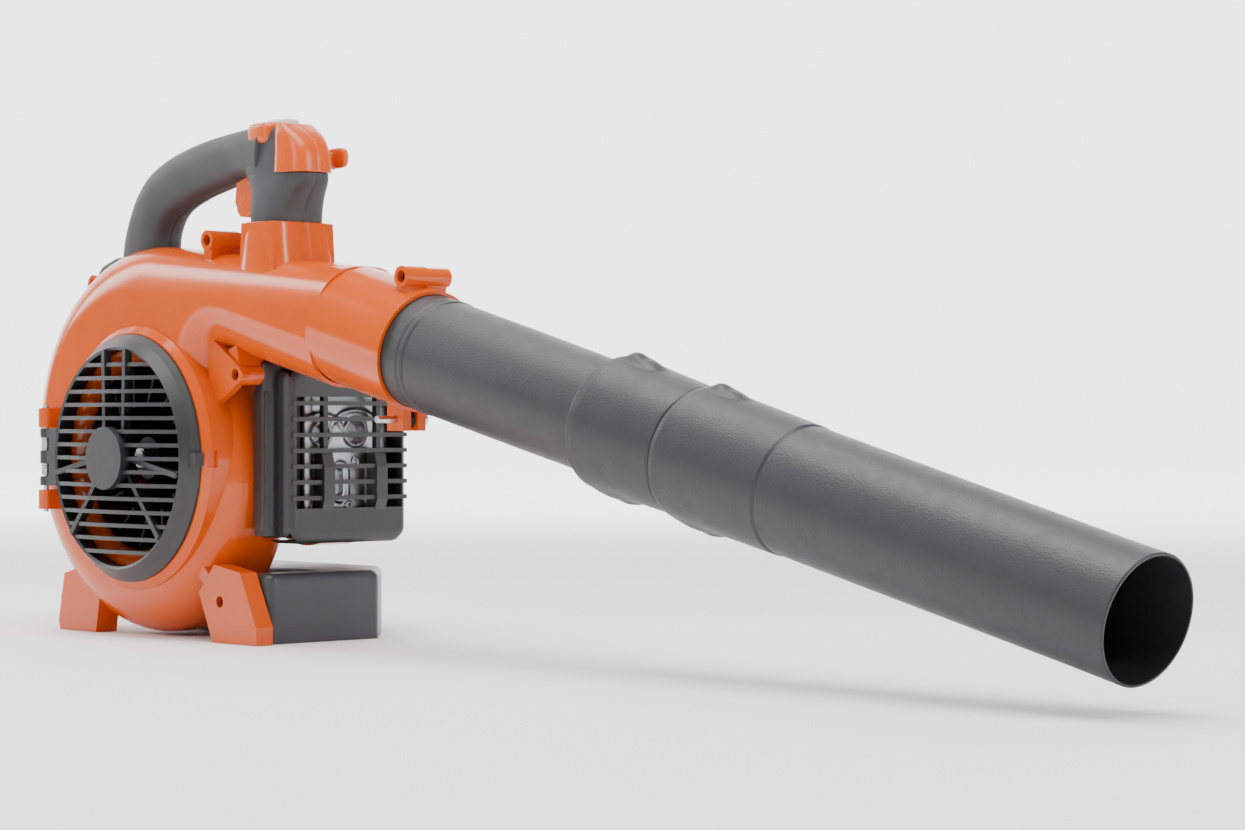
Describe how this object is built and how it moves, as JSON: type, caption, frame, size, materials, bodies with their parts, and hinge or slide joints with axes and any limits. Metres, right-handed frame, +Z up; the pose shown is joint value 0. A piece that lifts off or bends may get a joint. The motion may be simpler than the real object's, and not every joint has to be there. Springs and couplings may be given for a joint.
{
  "type": "leaf blower",
  "caption": "Hand-held petrol leaf blower: fan scroll with side intake grille, two-stroke engine, loop handle with trigger, fuel tank base and a long round blow tube in locking sections.",
  "frame": {"origin": "on the ground straight under the fan axis, in the plane where the two scroll halves meet", "axes": "+X forward along the blow tube, -Y towards the intake grille, +Z up"},
  "size_m": [1.0919, 0.244, 0.382],
  "materials": {
    "orange_shell": "glossy injection-moulded nylon",
    "tube_plastic": "fine leather-grained polypropylene",
    "grip_rubber": "soft-touch overmould",
    "cover_plastic": "satin heat-resistant nylon",
    "tank_plastic": "satin blow-moulded polyethylene",
    "black_plastic": "black glass-filled nylon",
    "control_orange": "orange acetal",
    "switch_white": "light grey acetal",
    "steel": "zinc-plated steel",
    "screw_black": "black oxide steel",
    "cast_aluminium": "as-cast aluminium",
    "muffler_steel": "pressed aluminised steel",
    "black_rubber": "rubber",
    "foam": "oiled filter foam",
    "gasket": "gasket board",
    "iron": "machined iron",
    "rope_fabric": "braided nylon"
  },
  "bodies": {
    "housing": {"air_filter_base": "black_plastic", "air_filter_cover": "cover_plastic", "air_filter_element": "foam", "carburettor": "cast_aluminium", "case_screws": "screw_black", "clamp_screw": "steel", "clamp_spacer": "black_rubber", "control_insert": "control_orange", "crank_bearings": "steel", "crankcase_inner_half": "cast_aluminium", "crankcase_outer_half": "cast_aluminium", "cylinder": "cast_aluminium", "exhaust_gasket": "gasket", "fuel_filter": "gasket", "fuel_line": "black_rubber", "fuel_tank": "tank_plastic", "grille_hinge_pin": "steel", "grille_springs": "steel", "handle_inner_half": "grip_rubber", "handle_outer_half": "grip_rubber", "ignition_lead": "black_rubber", "ignition_module": "black_plastic", "intake_spacer": "black_plastic", "muffler": "muffler_steel", "muffler_cover": "cover_plastic", "plug_boot": "black_rubber", "recoil_spring": "steel", "spark_plug": "steel", "starter_grille": "cover_plastic", "starter_housing": "orange_shell", "switch_bezel": "control_orange", "trigger_spring": "steel", "upper_tube": "tube_plastic", "volute_inner_half": "orange_shell", "volute_outer_half": "orange_shell"},
    "grille_door": {"inlet_grille": "cover_plastic"},
    "rotor": {"impeller": "black_plastic", "impeller_nut": "steel", "crankshaft": "steel", "flywheel": "cast_aluminium", "starter_cup": "steel"},
    "piston_group": {"piston": "cast_aluminium", "piston_rings": "iron", "piston_pin": "steel", "connecting_rod": "steel"},
    "trigger": {"throttle_trigger": "control_orange"},
    "throttle": {"throttle_shaft": "steel"},
    "cruise": {"cruise_lever": "control_orange"},
    "stop_button": {"stop_switch": "switch_white"},
    "choke": {"choke_lever": "control_orange"},
    "primer": {"primer_bulb": "black_rubber"},
    "cap_gasket": {"fuel_cap_gasket": "black_rubber"},
    "cap": {"fuel_cap": "black_plastic"},
    "coupling": {"coupling_tube": "tube_plastic"},
    "nozzle": {"nozzle_tube": "tube_plastic"},
    "starter_grip": {"starter_handle": "grip_rubber"},
    "pulley": {"starter_pulley": "black_plastic", "starter_rope": "rope_fabric"}
  },
  "joints": [
    {"name": "grille_hinge", "type": "hinge", "parent": "housing", "child": "grille_door", "pos_m": [-0.1075, -0.051, 0.1343], "axis": [0, 0, -1], "range_deg": [0, 110], "stiffness_Nm_per_rad": 0.02},
    {"name": "fan_spin", "type": "hinge", "parent": "housing", "child": "rotor", "pos_m": [0, 0, 0.1343], "axis": [0, 1, 0], "continuous": true},
    {"name": "piston_slide", "type": "slide", "parent": "housing", "child": "piston_group", "axis": [0, 0, -1], "range_m": [0, 0.028]},
    {"name": "trigger_pull", "type": "hinge", "parent": "housing", "child": "trigger", "pos_m": [0.113, 0, 0.34], "axis": [0, 1, 0], "range_deg": [0, 12], "stiffness_Nm_per_rad": 0.6},
    {"name": "throttle_turn", "type": "hinge", "parent": "housing", "child": "throttle", "pos_m": [-0.058, 0.089, 0.19], "axis": [0, 1, 0], "range_deg": [0, 75]},
    {"name": "cruise_turn", "type": "hinge", "parent": "housing", "child": "cruise", "pos_m": [0.15, 0.03, 0.352], "axis": [0, 1, 0], "range_deg": [0, 45]},
    {"name": "stop_press", "type": "slide", "parent": "housing", "child": "stop_button", "axis": [0, 0, -1], "range_m": [0, 0.002], "stiffness_N_per_m": 800},
    {"name": "choke_turn", "type": "hinge", "parent": "housing", "child": "choke", "pos_m": [-0.05, 0.105, 0.178], "axis": [0, -1, 0], "range_deg": [0, 40]},
    {"name": "primer_press", "type": "slide", "parent": "housing", "child": "primer", "axis": [0, 0, 1], "range_m": [0, 0.004], "stiffness_N_per_m": 600, "deforming": ["primer_bulb"]},
    {"name": "cap_lift", "type": "slide", "parent": "housing", "child": "cap_gasket", "axis": [0, 0, 1], "range_m": [0, 0.003]},
    {"name": "cap_turn", "type": "hinge", "parent": "cap_gasket", "child": "cap", "pos_m": [-0.04, 0.078, 0.066], "axis": [0, 0, 1], "range_deg": [0, 540]},
    {"name": "coupling_twist", "type": "hinge", "parent": "housing", "child": "coupling", "pos_m": [0.2967, 0, 0.2104], "axis": [0.9703, 0, -0.2419], "range_deg": [0, 20]},
    {"name": "nozzle_twist", "type": "hinge", "parent": "coupling", "child": "nozzle", "pos_m": [0.2967, 0, 0.2104], "axis": [0.9703, 0, -0.2419], "range_deg": [0, 20]},
    {"name": "starter_pull", "type": "slide", "parent": "housing", "child": "starter_grip", "axis": [0, 0, 1], "range_m": [0, 0.8], "stiffness_N_per_m": 8},
    {"name": "pulley_turn", "type": "hinge", "parent": "housing", "child": "pulley", "pos_m": [0, 0.138, 0.1343], "axis": [0, 1, 0], "range_deg": [0, 1540]}
  ],
  "couplings": [
    {"joint": "throttle_turn", "follows": "trigger_pull", "ratio": 6.25},
    {"joint": "cap_turn", "follows": "cap_lift", "rad_per_m": 3141.6},
    {"joint": "pulley_turn", "follows": "starter_pull", "rad_per_m": 33.333}
  ]
}
